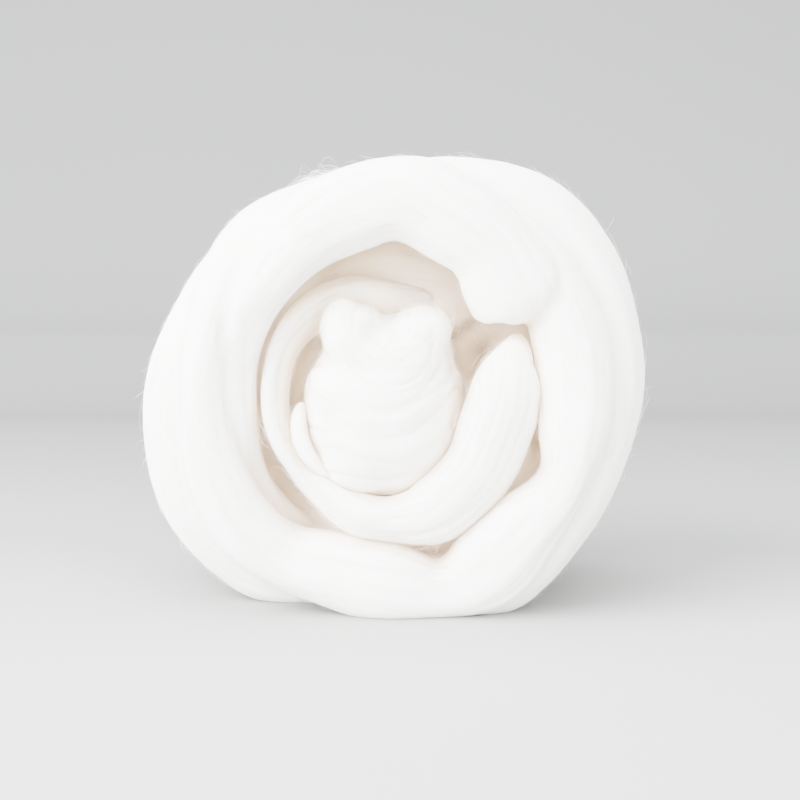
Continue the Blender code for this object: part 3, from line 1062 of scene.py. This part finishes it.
def wool_material(name, combed):
    """Makes the wool: cream fibre with streaks along the strand and a soft sheen, with
    painted shade in its creases and a painted glow in the deepest of them.
    """
    settings = bpy.context.scene.wool_roving
    finish = bpy.data.materials.new(name)
    finish.use_nodes = True
    tree = finish.node_tree
    shader = tree.nodes["Principled BSDF"]
    set_inputs(
        shader, Roughness=0.92, Specular_IOR_Level=0.18, Sheen_Weight=0.35,
        Sheen_Roughness=0.45, Sheen_Tint=(1.0, 0.98, 0.95, 1.0))
    if combed:
        set_inputs(
            shader, Subsurface_Weight=0.8, Subsurface_Scale=5.0 * MM,
            Subsurface_Radius=(1.0, 0.8, 0.6))
        place = kept_value(tree, "combed")
        source = "Vector"
        streaks = COMBED_STREAKS
    else:
        place = add_node(tree, "TexCoord", "place")
        source = "Object"
        streaks = LOOSE_STREAKS
    fine_map = add_node(tree, "Mapping", "fine streaks", Scale=streaks.fine)
    fine = add_node(tree, "TexNoise", "fine streaks", Scale=1.0, Detail=3.0)
    wide_map = add_node(tree, "Mapping", "wide streaks", Scale=streaks.wide)
    wide = add_node(tree, "TexNoise", "wide streaks", Scale=1.0, Detail=2.0)
    tint = add_node(tree, "ValToRGB", "lighter and creamier fibres")
    warm, light = tint.color_ramp.elements
    warm.position = 0.3
    warm.color = (*settings.wool_warm, 1.0)
    light.position = 0.7
    light.color = (*settings.wool_light, 1.0)
    # Painted shade and glow: the shelter kept on the mesh mixes the wool towards a darker,
    # warmer colour in its creases, and darker still at the listed shade places, and makes
    # the deepest creases glow.
    shelter = kept_value(tree, "shelter")
    deep = add_node(
        tree, "MapRange", "amount of painted crease shade",
        From_Min=settings.open_shelter, From_Max=settings.deep_shelter)
    through = add_node(
        tree, "MapRange", "painted glow in the creases",
        From_Min=settings.open_shelter, From_Max=FULL_PAINTED_GLOW, To_Max=settings.painted_glow)
    darkest = add_node(
        tree, "MapRange", "where least light comes in",
        From_Min=MOST_SHELTER, From_Max=settings.dark_shelter)
    cream = colour_mix(tree, "creases", B=settings.painted_crease_shade)
    painted_shade_colour = colour_mix(tree, "painted darkest shade", B=settings.painted_darkest_shade)
    faded = colour_mix(tree, "painted_glow", A=settings.painted_glow_colour, B=(0.0, 0.0, 0.0))
    bump = add_node(tree, "Bump", "fine streaks", Strength=0.25, Distance=0.35 * MM)
    join(
        tree,
        (place, source, fine_map, "Vector"),
        (place, source, wide_map, "Vector"),
        (fine_map, "Vector", fine, "Vector"),
        (wide_map, "Vector", wide, "Vector"),
        (wide, "Fac", tint, "Fac"),
        (tint, "Color", cream, "A"),
        (shelter, "Fac", deep, "Value"),
        (shelter, "Fac", through, "Value"),
        (shelter, "Fac", darkest, "Value"),
        (deep, "Result", cream, "Factor"),
        (cream, "Result", painted_shade_colour, "A"),
        (darkest, "Result", painted_shade_colour, "Factor"),
        (darkest, "Result", faded, "Factor"),
        (painted_shade_colour, "Result", shader, "Base Color"),
        (faded, "Result", shader, "Emission Color"),
        (through, "Result", shader, "Emission Strength"),
        (fine, "Fac", bump, "Height"),
        (bump, "Normal", shader, "Normal"))
    return finish


def wool(combed=True):
    """Gives the wool's finish, made once."""
    name = "combed_wool" if combed else "wool_fibre"
    return bpy.data.materials.get(name) or wool_material(name, combed)


def stage_material():
    """Makes the stage's plain finish: pale floor, and a grey backdrop behind it, their tones
    partly painted shade that darkens the floor away from the ball.
    """
    tint = bpy.context.scene.wool_roving.stage_tint
    plain = bpy.data.materials.new("stage")
    plain.use_nodes = True
    tree = plain.node_tree
    shader = tree.nodes["Principled BSDF"]
    set_inputs(shader, Roughness=0.75, Specular_IOR_Level=0.2)
    place = add_node(tree, "TexCoord", "place")
    split = add_node(tree, "SeparateXYZ", "place")
    near = STAGE_TONES_AND_SHADE[0].y
    far = STAGE_TONES_AND_SHADE[-1].y
    back = add_node(tree, "MapRange", "how far back", From_Min=near, From_Max=far)
    # Partly painted shade: the tones fall off and dip with distance to stand in for how the
    # light falls on the floor and sheet.
    ramp = add_node(tree, "ValToRGB", "tone")
    stops = ramp.color_ramp.elements
    while len(stops) < len(STAGE_TONES_AND_SHADE):
        stops.new(1.0)
    for stop, tone in zip(stops, STAGE_TONES_AND_SHADE):
        stop.position = (tone.y - near) / (far - near)
        stop.color = (*(tone.tone * part for part in tint), 1.0)
    join(
        tree,
        (place, "Object", split, "Vector"),
        (split, "Y", back, "Value"),
        (back, "Result", ramp, "Fac"),
        (ramp, "Color", shader, "Base Color"))
    return plain


# ---- the operators

class WOOLROVING_OT_outer_winding(Operator):
    """Makes the outer winding: the rim's turns and the coil behind them"""

    bl_idname = "wool_roving.outer_winding"
    bl_label = "Outer Winding"

    def execute(self, context):
        voxel = context.scene.wool_roving.outer_voxel
        piece = wound_piece("outer_winding", outer_turns(), (HIDDEN_TURNS,), voxel)
        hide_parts(SOLID)
        return {"FINISHED"}


class WOOLROVING_OT_crescent_turn(Operator):
    """Makes the crescent, the turn inside the rim"""

    bl_idname = "wool_roving.crescent_turn"
    bl_label = "Crescent Turn"

    def execute(self, context):
        voxel = context.scene.wool_roving.inner_voxel
        wound_piece("crescent_turn", [lofted_turn(CRESCENT)], (), voxel)
        return {"FINISHED"}


class WOOLROVING_OT_folded_end(Operator):
    """Makes the folded inner end, a small pillow with swags, and the thin fold beside it"""

    bl_idname = "wool_roving.folded_end"
    bl_label = "Folded End"

    def execute(self, context):
        voxel = context.scene.wool_roving.inner_voxel
        top_fold = lofted_turn(TOP_FOLD, DIMPLE_X, DIMPLE_HEIGHT)
        mesh = fused_mesh("folded_end", [top_fold], FOLDED_BULKS, voxel, FOLD_SOFTENING)
        comb_surface(mesh, *around_dimple(mesh), SWAG_LINES)
        finish_piece("folded_end", mesh, wool())
        wound_piece("side_fold", [lofted_turn(SIDE_FOLD)], (), voxel)
        return {"FINISHED"}


class WOOLROVING_OT_crease_depth(Operator):
    """Works out how closed in the wool is at each point, which sets the painted shade and
    glow in its creases
    """

    bl_idname = "wool_roving.crease_depth"
    bl_label = "Crease Depth"

    def execute(self, context):
        meshes = [bpy.data.objects[name].data for name in PIECES]
        ball = tree_of(*meshes)
        for mesh in meshes:
            keep_shelter(mesh, ball)
        return {"FINISHED"}


class WOOLROVING_OT_combed_fibres(Operator):
    """Lays locks of fibres along the strand"""

    bl_idname = "wool_roving.combed_fibres"
    bl_label = "Combed Fibres"

    def execute(self, context):
        settings = context.scene.wool_roving
        count = settings.fibres_per_piece
        finish = wool(combed=False)
        made = (
            ("rim_fibres", "outer_winding", count, 11, -1),
            ("coil_fibres", "outer_winding", count, 12, 1),
            ("crescent_fibres", "crescent_turn", count // 3, 13, 0),
            ("folded_end_fibres", "folded_end", count // 4, 14, 0),
        )
        for name, carrier, number, seed, side in made:
            mesh = lying_fibres(name, carrier, number, seed, side)
            finish_piece(name, mesh, finish)
        return {"FINISHED"}


class WOOLROVING_OT_halo(Operator):
    """Stands fine fibres off the ball: a short fuzz, and a halo with two tufts"""

    bl_idname = "wool_roving.halo"
    bl_label = "Halo"

    def execute(self, context):
        settings = context.scene.wool_roving
        dice = np.random.RandomState(HALO_SEED)
        solid = tree_of(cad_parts[SOLID].data)
        meshes = [bpy.data.objects[name].data for name in PIECES]
        sizes = (
            ("halo_fibres", settings.halo_fibres, settings.halo_stand,
             settings.halo_length, HALO_CORNERS),
            ("fuzz_fibres", settings.fuzz_fibres, settings.fuzz_stand,
             settings.fuzz_length, FUZZ_CORNERS),
        )
        for name, count, stand, reach, corners in sizes:
            routes = []
            for mesh in meshes:
                share = len(mesh.vertices) / HALO_SHARE
                shown = shown_points(mesh, solid, dice, int(share * count))
                places = places_on(mesh, shown)
                routes += halo_routes(*places, stand, reach, corners, dice)
            if name == "halo_fibres":
                for tuft in TUFTS:
                    places = places_on(meshes[0], tuft_points(meshes[0], tuft, dice))
                    routes += halo_routes(*places, tuft.stand * MM, reach, corners, dice)
            radii = settings.halo_radius * dice.uniform(*HALO_RADII, len(routes))
            finish_piece(name, fibre_mesh(name, routes, radii), wool(combed=False))
        return {"FINISHED"}


class WOOLROVING_OT_stage(Operator):
    """Makes the floor, the backdrop, the lights and the camera"""

    bl_idname = "wool_roving.stage"
    bl_label = "Stage"

    def execute(self, context):
        scene = context.scene
        scene.view_settings.view_transform = "Filmic"
        shape = bmesh.new()
        bmesh.ops.create_grid(
            shape, x_segments=STAGE_GRID, y_segments=STAGE_GRID, size=STAGE_SIZE)
        for vert in shape.verts:
            vert.co.z = max(0.0, vert.co.y - FLOOR_END) ** 2
        mesh = mesh_from(shape, "stage")
        dress(mesh, stage_material())
        floor = add_object("stage", mesh)
        for lamp in LAMPS:
            self.light(lamp)
        world = bpy.data.worlds.new("studio")
        world.use_nodes = True
        sky = world.node_tree.nodes["Background"]
        set_inputs(sky, Color=SKY_COLOUR, Strength=SKY_POWER)
        scene.world = world
        lens = bpy.data.cameras.new("camera")
        lens.sensor_width = SENSOR
        lens.lens = LENS
        camera = add_object("camera", lens)
        camera.location = CAMERA_PLACE
        camera.rotation_euler = (math.radians(90.0 - CAMERA_TILT), 0.0, 0.0)
        scene.camera = camera
        return {"FINISHED"}

    @staticmethod
    def light(lamp):
        """Adds a soft square light that faces the ball."""
        source = bpy.data.lights.new(lamp.name, "AREA")
        source.size = lamp.size
        source.energy = lamp.power
        source.color = LAMP_COLOUR
        holder = add_object(lamp.name, source)
        holder.location = lamp.place
        aim = Vector((0.0, 0.0, AXIS_HEIGHT * MM)) - holder.location
        holder.rotation_euler = aim.to_track_quat("-Z", "Y").to_euler()


class WOOLROVING_PT_panel(Panel):
    """Lists the ball's pieces and its sizes"""

    bl_label = "Wool Roving"
    bl_idname = "WOOLROVING_PT_panel"
    bl_space_type = "VIEW_3D"
    bl_region_type = "UI"
    bl_category = "Wool Roving"

    def draw(self, context):
        layout = self.layout
        for step in STEPS:
            layout.operator(step.bl_idname)
        settings = context.scene.wool_roving
        for name in WoolRovingSettings.__annotations__:
            layout.prop(settings, name)


STEPS = (
    WOOLROVING_OT_outer_winding,
    WOOLROVING_OT_crescent_turn,
    WOOLROVING_OT_folded_end,
    WOOLROVING_OT_crease_depth,
    WOOLROVING_OT_combed_fibres,
    WOOLROVING_OT_halo,
    WOOLROVING_OT_stage,
)
CLASSES = (WoolRovingSettings, *STEPS, WOOLROVING_PT_panel)


def register():
    for made in CLASSES:
        bpy.utils.register_class(made)
    bpy.types.Scene.wool_roving = PointerProperty(type=WoolRovingSettings)


def unregister():
    del bpy.types.Scene.wool_roving
    for made in reversed(CLASSES):
        bpy.utils.unregister_class(made)


def main():
    register()
    bpy.ops.wool_roving.outer_winding()
    bpy.ops.wool_roving.crescent_turn()
    bpy.ops.wool_roving.folded_end()
    bpy.ops.wool_roving.crease_depth()
    bpy.ops.wool_roving.combed_fibres()
    bpy.ops.wool_roving.halo()
    bpy.ops.wool_roving.stage()


if __name__ == "__main__":
    main()
